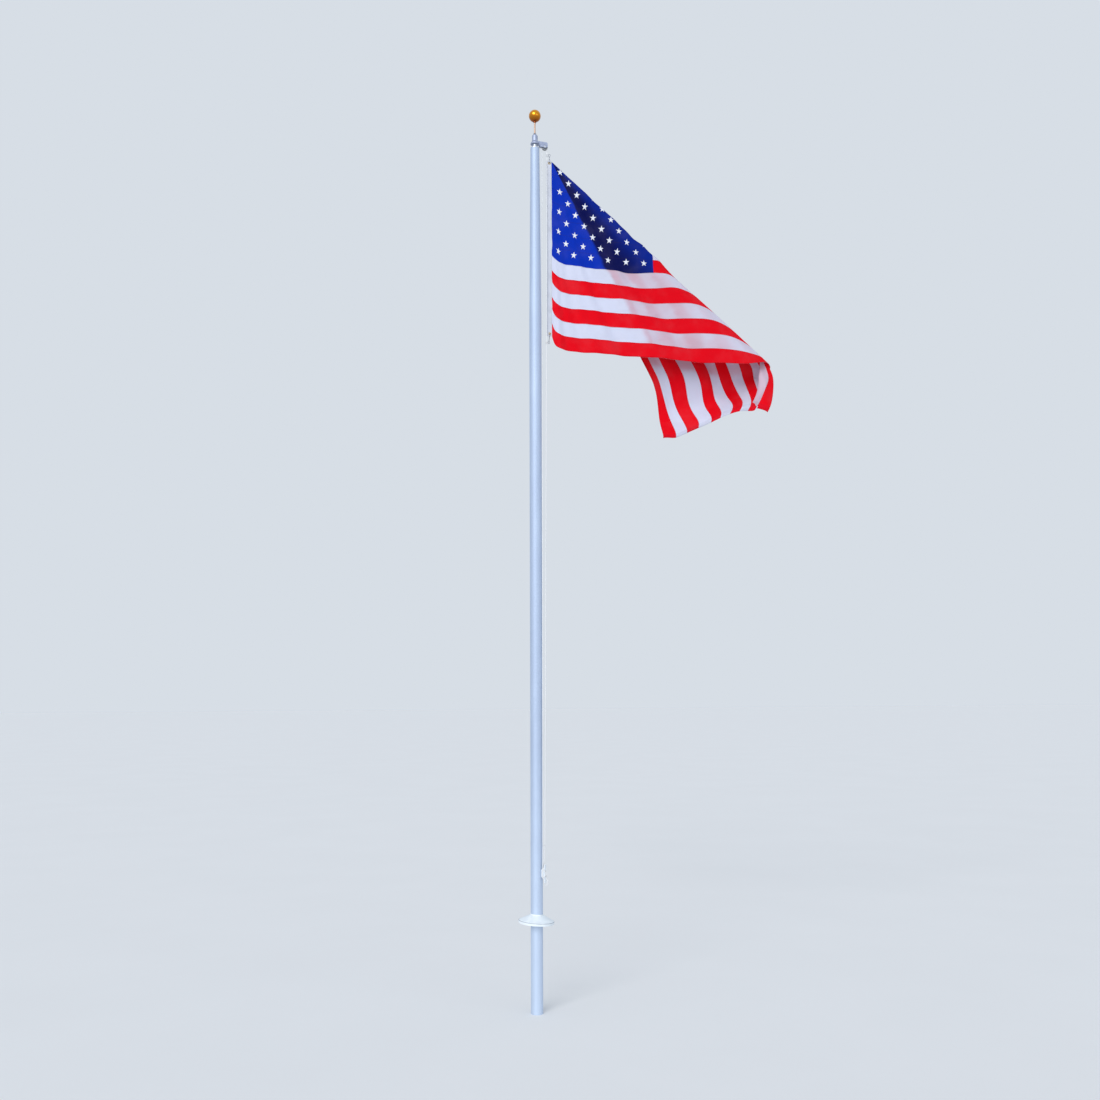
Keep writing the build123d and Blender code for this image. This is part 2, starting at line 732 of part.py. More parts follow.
def hang(along, down):
    # Slope, distance and depth from the top corner of a point along the fly and down the hoist
    distance = hypot(along, down)
    angle = degrees(atan2(down, along))
    fold = fold_on_cloth(distance)
    slope = fold_slope + (fold_slope_end - fold_slope) * eased(*fold_slope_turn, distance)
    opened = eased(roll_start, roll_full, distance)
    front = front_roll + (front_roll_full - front_roll) * opened
    stretched = distance * (1 + stretch_share * eased(roll_start, stretch_end, distance))
    if angle > fold:
        held = 1 - exp(-along / edge_pull)
        flat_along = along - shear_share * down * held
        flat_down = down + sag_share * down * held * (1 - sag_fall * down / hoist_length)
        share = eased(0.0, fold_blend, angle - fold)
        flat_arc = degrees(atan2(flat_down, flat_along)) - slope + (pi / 2 - 1) * front
        arc = max((angle - fold) * (1 - share) + flat_arc * share, 0.0)
        reach = stretched * (1 - share) + hypot(flat_along, flat_down) * share
        round_front = 1 - sin(min(arc / front, pi / 2))
        depth = (reach * radians(front) * roll_flatness + fold_gap) * round_front
        return slope + rolled(arc, front), reach, depth
    droop = min(max((along - fly_length + droop_length) / droop_length, 0.0), 1.0) ** 2
    back = (back_roll + (back_roll_full - back_roll) * opened) * (1 - droop) + back_roll_hem * droop
    start = fold + (min(fold, fold_angle_middle) - fold) * opened
    start += (hem_fold_angle - start) * droop
    arc = max(start - angle, 0.0)
    slope += rolled(arc, back) * (1 - back_gather * (1 - opened)) + (hem_slope - fold_slope_end) * droop
    round_back = sin(min(arc / back, pi / 2))
    depth = stretched * radians(front + back * round_back) * roll_flatness + fold_gap * (1 + round_back)
    depth += back_stand_off * round_back * (1 - opened) * eased(0.0, back_stand_off_length, distance)
    swing = hem_depth - hem_swing * eased(*hem_swing_angles, angle)
    swing += hem_pleat * sin(pi * eased(*hem_pleat_angles, angle)) ** 2
    return slope, stretched, depth + (swing - depth) * droop


def section_point(station, angle):
    # Where the cloth at an angle crosses the section plane: down from the fold, and depth
    distance = station
    for _ in range(solve_steps):
        along, down = distance * cos(radians(angle)), distance * sin(radians(angle))
        slope, reach, depth = hang(along, down)
        distance *= station / (reach * cos(radians(slope - station_slope)))
    depth += cloth_swell * station / hoist_length * sin(radians(2 * angle))
    return reach * sin(radians(slope - station_slope)), depth, along, down


def edge_angle(station, low, high, way, limit):
    # The angle between low and high at which the section reaches the cloth's edge that way
    if section_point(station, high)[way] <= limit:
        return high
    for _ in range(solve_steps):
        middle = (low + high) / 2
        if section_point(station, middle)[way] > limit:
            high = middle
        else:
            low = middle
    return low


crest = Vector(cos(radians(station_slope)), 0, -sin(radians(station_slope)))
down_slope = Vector(-sin(radians(station_slope)), 0, -cos(radians(station_slope)))
with BuildPart() as flag_field:
    for station in [*hoist_stations, *(fly_length + past for past in hem_stations)]:
        fold = fold_on_cloth(station)
        front_angle = edge_angle(station, min(fold, hem_fold_angle), 90.0, 3, hoist_length)
        back_angle = edge_angle(station, front_angle, 0.0, 2, fly_length)
        middle = min(fold, front_angle - (front_angle - back_angle) / 3)
        forward = [(1 - i / front_points) ** front_spacing for i in range(front_points)]
        backward = [(i / back_points) ** back_spacing for i in range(back_points + 1)]
        angles = [middle + (front_angle - middle) * share for share in forward]
        angles += [middle + (back_angle - middle) * share for share in backward]
        inner = [Vector(*section_point(station, angle)[:2]) for angle in angles]
        outer = []
        for i, point in enumerate(inner):
            run = inner[min(i + 1, len(inner) - 1)] - inner[max(i - 1, 0)]
            outer.append(point + Vector(run.Y, -run.X).normalized() * -cloth_thickness)
        with BuildSketch(Plane(origin=apex + crest * station, x_dir=down_slope, z_dir=crest)):
            with BuildLine():
                Polyline(*[(p.X, p.Y) for p in inner + outer[::-1]], close=True)
            make_face()
    loft(ruled=True)

for name, piece in (
    ("pole_shaft", pole_shaft),
    ("spindle_plug", spindle_plug),
    ("truck_body", truck_body),
    ("sheave", sheave),
    ("sheave_axle", sheave_axle),
    ("finial_rod", finial_rod),
    ("finial_locknut", finial_locknut),
    ("finial_ball", finial_ball),
    ("halyard_over_sheave", halyard_over_sheave),
    ("halyard_hoist_line", halyard_hoist_line),
    ("halyard_return_line", halyard_return_line),
    ("cleat", cleat),
    ("halyard_cleat_hitch", halyard_cleat_hitch),
    ("halyard_tail", halyard_tail),
    ("flash_collar", flash_collar),
    ("flag_header", flag_header),
    ("flag_field", flag_field),
):
    piece.part.label = name
    export_step(piece.part, f"parts/{name}.step")
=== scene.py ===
from math import acos, asin, atan2, copysign, cos, degrees, exp, hypot, pi, radians, sin, tan

import bmesh
import bpy
from mathutils import Matrix, Vector, noise


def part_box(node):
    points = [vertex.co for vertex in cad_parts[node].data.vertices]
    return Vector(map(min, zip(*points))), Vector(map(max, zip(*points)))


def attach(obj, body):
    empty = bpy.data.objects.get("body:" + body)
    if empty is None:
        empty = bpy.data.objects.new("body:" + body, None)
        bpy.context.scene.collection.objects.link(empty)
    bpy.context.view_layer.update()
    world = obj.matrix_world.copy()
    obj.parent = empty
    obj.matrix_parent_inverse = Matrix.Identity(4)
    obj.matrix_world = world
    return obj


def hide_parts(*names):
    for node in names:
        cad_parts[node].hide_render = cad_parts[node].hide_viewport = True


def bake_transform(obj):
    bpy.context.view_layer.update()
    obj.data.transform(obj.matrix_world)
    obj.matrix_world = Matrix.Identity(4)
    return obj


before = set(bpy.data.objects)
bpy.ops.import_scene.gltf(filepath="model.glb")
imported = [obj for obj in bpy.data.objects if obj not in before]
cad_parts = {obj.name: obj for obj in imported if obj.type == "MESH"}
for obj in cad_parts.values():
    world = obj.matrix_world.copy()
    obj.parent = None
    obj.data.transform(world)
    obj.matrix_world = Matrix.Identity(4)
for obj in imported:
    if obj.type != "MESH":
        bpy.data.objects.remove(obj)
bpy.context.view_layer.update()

# View: from 9.5 m away and 2.7 m up, turned a little to the right of the pole and up, so that
# the flag flies to the right. The picture is 1100 pixels square.
picture = 1100
focal_pixels = 1133.0
eye = Vector((-2.724, -9.098, 2.658))
look_up, look_right, look_roll = radians(2.55), radians(17.369), radians(-0.179)
forward = Vector((cos(look_up) * sin(look_right), cos(look_up) * cos(look_right), sin(look_up)))
level = Vector((cos(look_right), -sin(look_right), 0.0))
upright = level.cross(forward)
right = level * cos(look_roll) + upright * sin(look_roll)
top = upright * cos(look_roll) - level * sin(look_roll)
camera = bpy.data.cameras.new("view")
camera.sensor_width = 36.0
camera.lens = focal_pixels / picture * camera.sensor_width
camera.shift_y = 0.083
camera.clip_end = 500.0
camera_object = bpy.data.objects.new("view", camera)
turned = Matrix((right, top, -forward)).transposed()
camera_object.matrix_world = Matrix.Translation(eye) @ turned.to_4x4()
bpy.context.scene.collection.objects.link(camera_object)
bpy.context.scene.camera = camera_object
bpy.context.scene.view_settings.view_transform = "Standard"

# Halyard rope: white braided polyester, 8 mm, eight strands each way round. The tail is the
# end left over at the cleat, cut bare, which stands off the cleat and curls back.


class Wire:
    """A socket in a material. Sums written with wires add Math nodes."""

    def __init__(self, tree, socket=None):
        self.tree = tree
        self.socket = socket

    def node(self, kind, sockets=None, output=0, **settings):
        made = self.tree.nodes.new(kind)
        for setting, value in settings.items():
            setattr(made, setting, value)
        for key, value in (sockets or {}).items():
            if isinstance(value, Wire):
                self.tree.links.new(value.socket, made.inputs[key])
            elif isinstance(value, tuple) and len(value) == 3 and made.inputs[key].type == "RGBA":
                made.inputs[key].default_value = (*value, 1.0)
            else:
                made.inputs[key].default_value = value
        return Wire(self.tree, made.outputs[output])

    def sum(self, operation, *others):
        sockets = {index + 1: other for index, other in enumerate(others)}
        sockets[0] = self
        return self.node("ShaderNodeMath", sockets, operation=operation)

    def __add__(self, other):
        return self.sum("ADD", other)

    def __radd__(self, other):
        return self.sum("ADD", other)

    def __sub__(self, other):
        return self.sum("SUBTRACT", other)

    def __rsub__(self, other):
        return self.sum("MULTIPLY", -1.0) + other

    def __mul__(self, other):
        return self.sum("MULTIPLY", other)

    def __rmul__(self, other):
        return self.sum("MULTIPLY", other)

    def __truediv__(self, other):
        return self.sum("DIVIDE", other)

    def above(self, other):
        return self.sum("GREATER_THAN", other)

    def step(self, low, high):
        return self.node(
            "ShaderNodeMapRange",
            {"Value": self, "From Min": low, "From Max": high},
            interpolation_type="SMOOTHSTEP",
        )

    def mix(self, first, second):
        # self is the share of the second colour
        return self.node("ShaderNodeMix", {0: self, 6: first, 7: second}, 2, data_type="RGBA")

    def other(self, output):
        # Another output of the same node
        return Wire(self.tree, self.socket.node.outputs[output])

    def axes(self):
        # The x, y and z of a place
        x = self.node("ShaderNodeSeparateXYZ", {"Vector": self})
        return x, x.other(1), x.other(2)

    def line(self, place, core, edge):
        # A thin line where self passes a place: full within core of it, gone past edge
        return 1 - (self - place).sum("ABSOLUTE").step(core, edge)

    def either(self, other):
        return self.sum("MAXIMUM", other)

    def into(self, socket):
        self.tree.links.new(self.socket, socket)


def finish(name, **fixed):
    # A new material, its shader with the values that are the same all over, and a first wire
    made = bpy.data.materials.new(name)
    made.use_nodes = True
    shader = made.node_tree.nodes["Principled BSDF"]
    for socket, value in fixed.items():
        shader.inputs[socket.replace("_", " ")].default_value = value
    return made, shader, Wire(made.node_tree)


def on_piece(start):
    # A spot's place on its piece, in metres
    return start.node("ShaderNodeTexCoord", output=3)


def on_cloth(start, layer="cloth"):
    # A spot's place on the flat cloth, from a UV layer
    return start.node("ShaderNodeUVMap", uv_map=layer)


def grain(start, coords, scale, detail=4.0, stretch=None):
    # Noise at a number of spots to the metre, drawn out along an axis by stretch
    if stretch:
        coords = start.node("ShaderNodeMapping", {"Vector": coords, "Scale": stretch})
    return start.node(
        "ShaderNodeTexNoise",
        {"Vector": coords, "Scale": scale, "Detail": detail, "Roughness": 0.55},
    )


def bump(start, height, strength, distance, shader):
    # Relief of the given depth in metres
    start.node(
        "ShaderNodeBump", {"Height": height, "Strength": strength, "Distance": distance}
    ).into(shader.inputs["Normal"])


def place_mesh(name, bm, made):
    # A finished piece stands at the origin, with its place in its mesh
    mesh = bpy.data.meshes.new(name)
    bm.to_mesh(mesh)
    bm.free()
    mesh.materials.append(made)
    mesh.polygons.foreach_set("use_smooth", [True] * len(mesh.polygons))
    piece = bpy.data.objects.new(name, mesh)
    bpy.context.scene.collection.objects.link(piece)
    return piece


rope_width = 0.008
rope_strands = 8
strand_pitch = 0.0135
rope_white = (0.90, 0.90, 0.89)
rope_shade = (0.64, 0.65, 0.67)
rope_handled = (0.62, 0.60, 0.56)

rope_finish, rope_shader, start = finish("rope_braid", Roughness=0.72, Sheen_Weight=0.25)
reach, round_rope, _ = on_cloth(start, "rope").axes()
along = reach * (2 * pi / strand_pitch)
around = round_rope * (2 * pi * rope_strands)
left_lay = ((around + along) * 0.5).sum("COSINE").sum("ABSOLUTE")
right_lay = ((around - along) * 0.5).sum("COSINE").sum("ABSOLUTE")
over = (around.sum("SINE") * along.sum("SINE")).step(-0.15, 0.15)
braid = left_lay * over + right_lay * (1 - over)
handled = grain(start, on_piece(start), 14.0).step(0.5, 0.75) * 0.2
strand_colour = braid.step(0.15, 0.8).mix(rope_shade, rope_white)
handled.mix(strand_colour, rope_handled).into(rope_shader.inputs["Base Color"])
bump(start, braid, 0.8, 0.0006, rope_shader)


def rope_path(points, fineness=12):
    # Points along a smooth line through the route, read from its NURBS spline
    curve = bpy.data.curves.new("route", "CURVE")
    curve.dimensions = "3D"
    curve.resolution_u = fineness
    spline = curve.splines.new("NURBS")
    spline.points.add(len(points) - 1)
    for knot, point in zip(spline.points, points):
        knot.co = (*point, 1.0)
    spline.order_u = 3
    spline.use_endpoint_u = True
    route = bpy.data.objects.new("route", curve)
    line = bpy.data.meshes.new_from_object(route)
    path = [vertex.co.copy() for vertex in line.vertices]
    bpy.data.objects.remove(route)
    bpy.data.curves.remove(curve)
    bpy.data.meshes.remove(line)
    return path


def rope(name, path, sides=24, gap=0.0009, relief=0.00035, width=rope_width):
    # A braided rope along a path: a ring drawn out step by step, each strand standing proud
    steps = [0.0]
    for before, after in zip(path, path[1:]):
        steps.append(steps[-1] + (after - before).length)
    count = max(int(steps[-1] / gap), 2)
    bm = bmesh.new()
    sheet = bm.loops.layers.uv.new("rope")
    ring = bmesh.ops.create_circle(bm, cap_ends=True, segments=sides, radius=width / 2)["verts"]
    where = {}
    side = None
    segment = 0
    for row in range(count + 1):
        reach = steps[-1] * row / count
        while segment < len(path) - 2 and steps[segment + 1] < reach:
            segment += 1
        run = path[segment + 1] - path[segment]
        share = (reach - steps[segment]) / run.length
        centre = path[segment] + run * share
        entering = (path[segment + 1] - path[max(segment - 1, 0)]).normalized()
        leaving = (path[min(segment + 2, len(path) - 1)] - path[segment]).normalized()
        ahead = entering.lerp(leaving, share).normalized()
        if side is None:
            side = ahead.orthogonal().normalized()
        side = (side - ahead * side.dot(ahead)).normalized()
        across = ahead.cross(side)
        if row:
            edges = [bm.edges.get((ring[i], ring[(i + 1) % sides])) for i in range(sides)]
            fresh = bmesh.ops.extrude_edge_only(bm, edges=edges)["geom"]
            fresh = {v for v in fresh if isinstance(v, bmesh.types.BMVert)}
            ring = [next(o for e in v.link_edges if (o := e.other_vert(v)) in fresh) for v in ring]
        for i, vert in enumerate(ring):
            angle = 2 * pi * i / sides
            turn = rope_strands * angle
            advance = 2 * pi * reach / strand_pitch
            lay = 1 if sin(turn) * sin(advance) > 0 else -1
            proud = abs(cos((turn + lay * advance) / 2))
            radius = width / 2 - relief * (1 - proud)
            vert.co = centre + (side * cos(angle) + across * sin(angle)) * radius
            where[vert] = (reach, i)
    bmesh.ops.contextual_create(bm, geom=ring)
    for face in bm.faces:
        closes = len(face.loops) == 4 and any(where[vert][1] == sides - 1 for vert in face.verts)
        for loop in face.loops:
            reach, i = where[loop.vert]
            loop[sheet].uv = (reach, 1.0 if closes and i == 0 else i / sides)
    bmesh.ops.recalc_face_normals(bm, faces=bm.faces)
    piece = place_mesh(name, bm, rope_finish)
    return piece


def middle_of(node):
    # The middle of a CAD node's box
    low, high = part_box(node)
    return (Vector(low) + Vector(high)) / 2


pole_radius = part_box("pole_shaft")[1][0]
cleat_centre = Vector((0.0, 0.0, middle_of("cleat").z))
cleat_angle = radians(-50.0)
cleat_out = Vector((cos(cleat_angle), sin(cleat_angle), 0.0))
cleat_side = Vector((-cleat_out.y, cleat_out.x, 0.0))


def at_cleat(out, side, rise):
    # A place beside the cleat: out from the pole's face, to its left, and up from its middle
    return cleat_centre + cleat_out * (pole_radius + out) + cleat_side * side + Vector((0, 0, rise))


tail_route = [
    at_cleat(0.0312, 0.0131, -0.0335),
    at_cleat(0.040, 0.0142, -0.044),
    at_cleat(0.050, 0.018, -0.067),
    at_cleat(0.044, 0.016, -0.084),
    at_cleat(0.031, 0.012, -0.100),
]
tail_path = rope_path(tail_route)
tail = rope("rope_tail", tail_path)
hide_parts("halyard_tail")
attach(tail, "pole")

# Studio: a pale floor that runs to a pale distance, soft light from the upper left and sky
# light all round.
floor_reach = 160.0
bm = bmesh.new()
bmesh.ops.create_grid(bm, x_segments=8, y_segments=8, size=floor_reach)
floor_finish, floor_shader, start = finish("floor_pale", Roughness=0.9)
floor_grey = (0.80, 0.80, 0.79)
floor_white = (0.81, 0.81, 0.80)
spread = grain(start, on_piece(start), 0.6).step(0.3, 0.7)
spread.mix(floor_grey, floor_white).into(floor_shader.inputs["Base Color"])
floor = place_mesh("floor", bm, floor_finish)

world = bpy.data.worlds.new("sky")
bpy.context.scene.world = world
world.use_nodes = True
sky = Wire(world.node_tree)
ray = sky.node("ShaderNodeLightPath")
seen = ray.either(ray.other("Is Glossy Ray") * 0.35)
sky_nodes = world.node_tree.nodes
glow = sky_nodes["Background"]
glow.inputs["Color"].default_value = (0.80, 0.88, 1.0, 1.0)
glow.inputs["Strength"].default_value = 0.72
light = Wire(world.node_tree, glow.outputs[0])
backdrop = sky.node("ShaderNodeBackground", {"Color": (0.68, 0.73, 0.79), "Strength": 1.0})
both = sky.node("ShaderNodeMixShader", {0: seen, 1: light, 2: backdrop})
both.into(sky_nodes["World Output"].inputs["Surface"])

lamps_aim = Vector((0.0, 0.0, 4.0))
for name, power, width, spot in (
    ("key", 1.8, 36.0, Vector((-7.0, -9.0, 9.5))),
    ("fill", 0.8, 60.0, Vector((4.0, -9.0, 2.5))),
):
    lamp = bpy.data.lights.new(name, "SUN")
    lamp.energy = power
    lamp.angle = radians(width)
    lamp_object = bpy.data.objects.new(name, lamp)
    lamp_object.location = spot
    lamp_object.rotation_euler = (lamps_aim - spot).to_track_quat("-Z", "Y").to_euler()
    bpy.context.scene.collection.objects.link(lamp_object)

# Pole: a drawn and spun aluminium tube with a satin finish along its length, a little brighter
# and handled low down. The plug in its top is turned from the same metal.


def dress(made, *nodes):
    # A CAD node's own slots take the finished material
    for node in nodes:
        for place in bpy.data.objects[node].material_slots:
            place.material = made


pole_bright = (0.56, 0.66, 0.81)
pole_grey = (0.42, 0.50, 0.65)
shaft_finish, shaft_shader, start = finish("shaft_satin", Metallic=0.5)
coords = on_piece(start)
streaks = grain(start, coords, 1.0, stretch=(420.0, 420.0, 1.6))
blotches = grain(start, coords, 1.0, stretch=(9.0, 9.0, 3.0))
height = coords.axes()[2]
handled = 1 - height.step(0.1, 2.4)
tone = (streaks * 0.35 + blotches * 0.35 + handled * 0.3 + 0.1).step(0.25, 0.85)
tone.mix(pole_grey, pole_bright).into(shaft_shader.inputs["Base Color"])
(0.52 + streaks * 0.20 - handled * 0.05).into(shaft_shader.inputs["Roughness"])
bump(start, streaks, 0.25, 0.0002, shaft_shader)
dress(shaft_finish, "pole_shaft")

turned_grey = (0.50, 0.53, 0.57)
turned_bright = (0.66, 0.69, 0.73)
turned_finish, turned_shader, start = finish("turned_aluminium", Metallic=0.9)
rings = grain(start, on_piece(start), 1.0, stretch=(12.0, 12.0, 2600.0))
rings.step(0.3, 0.7).mix(turned_grey, turned_bright).into(turned_shader.inputs["Base Color"])
(0.28 + rings * 0.18).into(turned_shader.inputs["Roughness"])
bump(start, rings, 0.3, 0.0002, turned_shader)
dress(turned_finish, "spindle_plug", "sheave_axle")

# Flash collar: spun from aluminium sheet and painted white, a shallow cone with a straight lip
# and a short neck. It belongs at the foot, and here it is held askew part way up.
collar_axis = (0.06738, -0.01805, 0.99756)
collar_groove = 0.7600
# Tool marks and weaves are sines, in radians to the metre
collar_marks = 2100.0
collar_shade = (0.74, 0.80, 0.84)
collar_white = (0.86, 0.91, 0.93)
groove_shade = (0.16, 0.20, 0.26)
collar_finish, collar_shader, start = finish("spun_sheet", Metallic=0.1, Specular_IOR_Level=0.4)
coords = on_piece(start)
level = start.node("ShaderNodeVectorMath", {0: coords, 1: collar_axis}, 1, operation="DOT_PRODUCT")
# A dark line of painted shade along the groove between the cone and the lip
groove = level.line(collar_groove, 0.0008, 0.0022)
x, y, _ = coords.axes()
reach = (x * x + y * y).sum("SQRT")
tool_marks = (reach * collar_marks).sum("SINE") * 0.5 + 0.5
drift = grain(start, coords, 22.0)
painted = (drift.step(0.35, 0.7) * 0.7 + tool_marks * 0.2).mix(collar_shade, collar_white)
(groove * 0.75).mix(painted, groove_shade).into(collar_shader.inputs["Base Color"])
(0.40 + drift * 0.2).into(collar_shader.inputs["Roughness"])
bump(start, tool_marks * 0.6 + drift * 0.4 - groove, 0.35, 0.0004, collar_shader)
dress(collar_finish, "flash_collar")

# Truck: sand-cast aluminium, tumbled, with a fine grain. It turns on the plug's spindle, and
# its forked arm carries the sheave.


def cast(name, grit, patches, fade, share, tones, roughness, relief, **fixed):
    # A sand-cast skin: fine grit over broad patches, which have a share of the tone
    made, shader, start = finish(name, **fixed)
    coords = on_piece(start)
    sand = grain(start, coords, grit, detail=3.0)
    broad = grain(start, coords, patches)
    mottled = broad.step(*fade) * share + sand * (1 - share)
    mottled.mix(*tones).into(shader.inputs["Base Color"])
    least, added = roughness
    (least + sand * added).into(shader.inputs["Roughness"])
    strength, distance = relief
    bump(start, sand + broad * 0.5, strength, distance, shader)
    return made


cast_finish = cast(
    "cast_aluminium",
    grit=900.0,
    patches=34.0,
    fade=(0.3, 0.72),
    share=0.75,
    tones=((0.30, 0.34, 0.46), (0.46, 0.51, 0.65)),
    roughness=(0.42, 0.22),
    relief=(0.5, 0.0005),
    Metallic=0.7,
)
dress(cast_finish, "truck_body")

# Cleat: two horns on a neck, sand-cast in aluminium like the truck and painted white. Two
# screws hold it on the shaft.
cleat_finish = cast(
    "cleat_paint",
    grit=700.0,
    patches=60.0,
    fade=(0.35, 0.7),
    share=0.7,
    tones=((0.68, 0.74, 0.80), (0.84, 0.88, 0.91)),
    roughness=(0.38, 0.2),
    relief=(0.4, 0.0004),
    Metallic=0.15,
    Specular_IOR_Level=0.4,
)
dress(cleat_finish, "cleat")

# Sheave: a wheel turned from grey nylon, a little mottled. It runs on an axle through the
# truck's fork, and the halyard lies in its groove.


def worn(name, patches, fade, tones, relief, roughness=None, **fixed):
    # A plain skin with patches of wear: how many to the metre, the noise from the first tone to
    # the second, the relief's strength, and the least roughness with what the wear adds
    made, shader, start = finish(name, **fixed)
    wear = grain(start, on_piece(start), patches)
    wear.step(*fade).mix(*tones).into(shader.inputs["Base Color"])
    if roughness:
        least, added = roughness
        (least + wear * added).into(shader.inputs["Roughness"])
    bump(start, wear, relief, 0.0002, shader)
    return made


wheel_finish = worn(
    "sheave_nylon",
    patches=420.0,
    fade=(0.3, 0.7),
    tones=((0.16, 0.17, 0.18), (0.24, 0.25, 0.26)),
    relief=0.3,
    Roughness=0.45,
)
dress(wheel_finish, "sheave")

# Finial: a spun aluminium ball, gold anodised, with painted shade darkening it towards its foot.
# It is screwed on a threaded rod of a paler gold, which a locknut holds in the truck.
ball_gold = (0.90, 0.37, 0.018)
ball_shade = (0.20, 0.030, 0.004)
ball_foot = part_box("finial_ball")[0][2]
gold_finish, gold_shader, start = finish(
    "gold_anodised",
    Metallic=0.92,
    Coat_Weight=0.15,
    Coat_Roughness=0.15,
)
coords = on_piece(start)
spun = grain(start, coords, 1.0, stretch=(14.0, 14.0, 900.0))
cloud = (grain(start, coords, 26.0) - 0.5) * 0.02
# Painted shade: the ball darker towards its foot, with a cloudy edge
shade_below = 1 - (coords.axes()[2] + cloud).step(ball_foot - 0.01, ball_foot + 0.085)
(shade_below * 0.95 + spun * 0.1).mix(ball_gold, ball_shade).into(gold_shader.inputs["Base Color"])
(0.16 + spun * 0.14).into(gold_shader.inputs["Roughness"])
bump(start, spun, 0.15, 0.0002, gold_shader)
dress(gold_finish, "finial_ball")
rod_finish = worn(
    "gilt_rod",
    patches=130.0,
    fade=(0.2, 0.8),
    tones=((0.40, 0.24, 0.16), (0.58, 0.40, 0.29)),
    relief=0.2,
    roughness=(0.30, 0.2),
    Metallic=0.9,
)
dress(rod_finish, "finial_rod")

# Small pieces of plated steel: the finial's locknut, the cleat's two screws, and the snaps
# that clip the flag's grommets to the hoist line, with their swivels and gates.
steel_finish = worn(
    "plated_steel",
    patches=160.0,
    fade=(0.2, 0.8),
    tones=((0.27, 0.28, 0.32), (0.38, 0.40, 0.44)),
    relief=0.2,
    roughness=(0.25, 0.2),
    Metallic=1.0,
)
dress(steel_finish, "finial_locknut", "cleat_screw_upper", "cleat_screw_lower")
for end in ("upper", "lower"):
    dress(steel_finish, f"{end}_swivel", f"{end}_snap_hook", f"{end}_snap_gate")

# Halyard on the truck: half a turn over the sheave, and the hoist and return lines down to
# the cleat. The lines twist round the pole as the truck turns.
sheave_centre = middle_of("sheave")
pitch_radius = 0.0229
hoist_end = Vector((0.057873, -0.047706, 1.380))
return_end = Vector((0.037856, -0.054064, 1.380))
hoist_top = sheave_centre + Vector((pitch_radius, 0, 0))
return_top = sheave_centre - Vector((pitch_radius, 0, 0))
half_turn = []
for turned_by in range(0, 181, 6):
    spoke = Vector((cos(radians(turned_by)), 0, sin(radians(turned_by))))
    half_turn.append(sheave_centre + spoke * pitch_radius)
over_sheave = rope("rope_over_sheave", half_turn, gap=0.0012)
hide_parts("halyard_over_sheave")
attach(over_sheave, "truck")
for name, node, high, low in (
    ("rope_hoist_line", "halyard_hoist_line", hoist_top, hoist_end),
    ("rope_return_line", "halyard_return_line", return_top, return_end),
):
    line = rope(name, [high, high.lerp(low, 0.5), low], sides=12, gap=0.02, relief=0.0)
    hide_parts(node)
    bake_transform(line)

# Hitch at the cleat: both lines come down behind the upper horn, take two turns round the neck
# and cross over the face from horn to horn, and the end stands off below.
for name, node, start_point, side in (
    ("rope_hoist_lead", "halyard_hoist_lead", hoist_end, 0.007),
    ("rope_return_lead", "halyard_return_lead", return_end, -0.007),
):
    foot = at_cleat(0.013, side, 0.0465)
    lead = rope(name, [start_point, start_point.lerp(foot, 0.5), foot], gap=0.0012)
    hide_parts(node)
    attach(lead, "pole")

neck_turns, neck_steps = 2, 12
neck_side, neck_rise, neck_roundness = 0.0137, 0.0415, 0.6
first_out, rope_lift = 0.0095, 0.0070
wrap = []
for step in range(neck_turns * neck_steps + 1):
    angle = 2 * pi * step / neck_steps + pi / 2
    side = neck_side * copysign(abs(cos(angle)) ** neck_roundness, cos(angle))
    out = first_out + rope_lift * step / (neck_turns * neck_steps)
    wrap.append(at_cleat(out, side, neck_rise * sin(angle)))
# Millimetres out from the pole's face, to the left and up, from horn to horn and back
face_crossing = (
    (21.4, 8.5, 49.0), (22.5, 12.5, 44.0), (24.8, 13.2, 33.0), (34.0, 12.9, 24.0),
    (37.7, 11.6, 19.0), (38.9, 8.0, 13.0), (39.1, 0.0, 0.0), (38.9, -8.0, -13.0),
    (37.7, -11.6, -19.0), (34.0, -12.9, -24.0), (24.8, -13.2, -33.0), (22.5, -12.5, -44.0),
    (21.4, -8.5, -49.0), (21.4, 8.5, -49.0), (22.5, 12.5, -44.0), (24.8, 13.2, -33.0),
    (34.0, 12.9, -24.0), (40.5, 12.2, -18.0), (45.5, 7.5, -12.0), (47.7, 0.0, 0.0),
    (45.5, -7.5, 12.0), (40.5, -12.2, 18.0), (34.0, -12.9, 24.0), (24.8, -13.2, 33.0),
    (22.5, -12.5, 44.0), (21.6, -10.0, 47.8),
)
wrap += [at_cleat(0.0185, 0.0, 0.0465), at_cleat(0.0212, 0.002, 0.0492)]
wrap += [at_cleat(out / 1000, side / 1000, rise / 1000) for out, side, rise in face_crossing]
hitch = rope("rope_cleat_hitch", rope_path(wrap), gap=0.0012)
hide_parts("halyard_cleat_hitch")
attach(hitch, "pole")

# Rope hitches on the swivels: three tight turns of the halyard round itself, which keep each
# snap at its height on the hoist line.
line_direction = (hoist_end - hoist_top).normalized()
coil_turns, coil_steps = 3, 12
coil_radius, coil_length, coil_rope = 0.0066, 0.021, 0.0068
for end in ("upper", "lower"):
    middle = middle_of(f"{end}_hitch")
    side = line_direction.orthogonal().normalized()
    across = line_direction.cross(side)
    coil = []
    for step in range(coil_turns * coil_steps + 1):
        angle = 2 * pi * step / coil_steps
        lift = (step / (coil_turns * coil_steps) - 0.5) * coil_length
        spoke = side * cos(angle) + across * sin(angle)
        coil.append(middle + spoke * coil_radius + line_direction * lift)
    knot = rope(f"rope_{end}_hitch", rope_path(coil), gap=0.0012, width=coil_rope)
    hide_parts(f"{end}_hitch")
    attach(knot, "flag")

